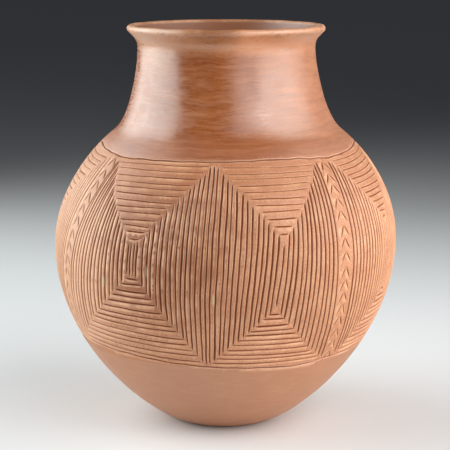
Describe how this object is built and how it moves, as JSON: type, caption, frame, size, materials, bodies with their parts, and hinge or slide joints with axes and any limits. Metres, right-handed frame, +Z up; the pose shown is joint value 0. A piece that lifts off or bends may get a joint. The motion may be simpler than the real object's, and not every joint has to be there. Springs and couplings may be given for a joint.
{
  "type": "pueblo pottery jar",
  "caption": "Coil-built clay storage jar with a round belly, narrow neck, flared rim and a carved band, standing on a small ring foot.",
  "frame": {"origin": "where the jar's axis meets the surface that it stands on", "axes": "+Z up along the jar's axis; the side that the picture shows faces -Y"},
  "size_m": [0.3399, 0.34, 0.395],
  "materials": {
    "polished_clay": "satin",
    "carved_clay": "matte"
  },
  "bodies": {
    "root": {"base_patty": "polished_clay", "lower_coil_1": "polished_clay", "lower_coil_2": "polished_clay", "belly_coil_1": "carved_clay", "belly_coil_2": "carved_clay", "belly_coil_3": "carved_clay", "belly_coil_4": "carved_clay", "belly_coil_5": "carved_clay", "neck_coil_1": "polished_clay", "neck_coil_2": "polished_clay", "neck_coil_3": "polished_clay", "rim_coil": "polished_clay"}
  },
  "joints": []
}
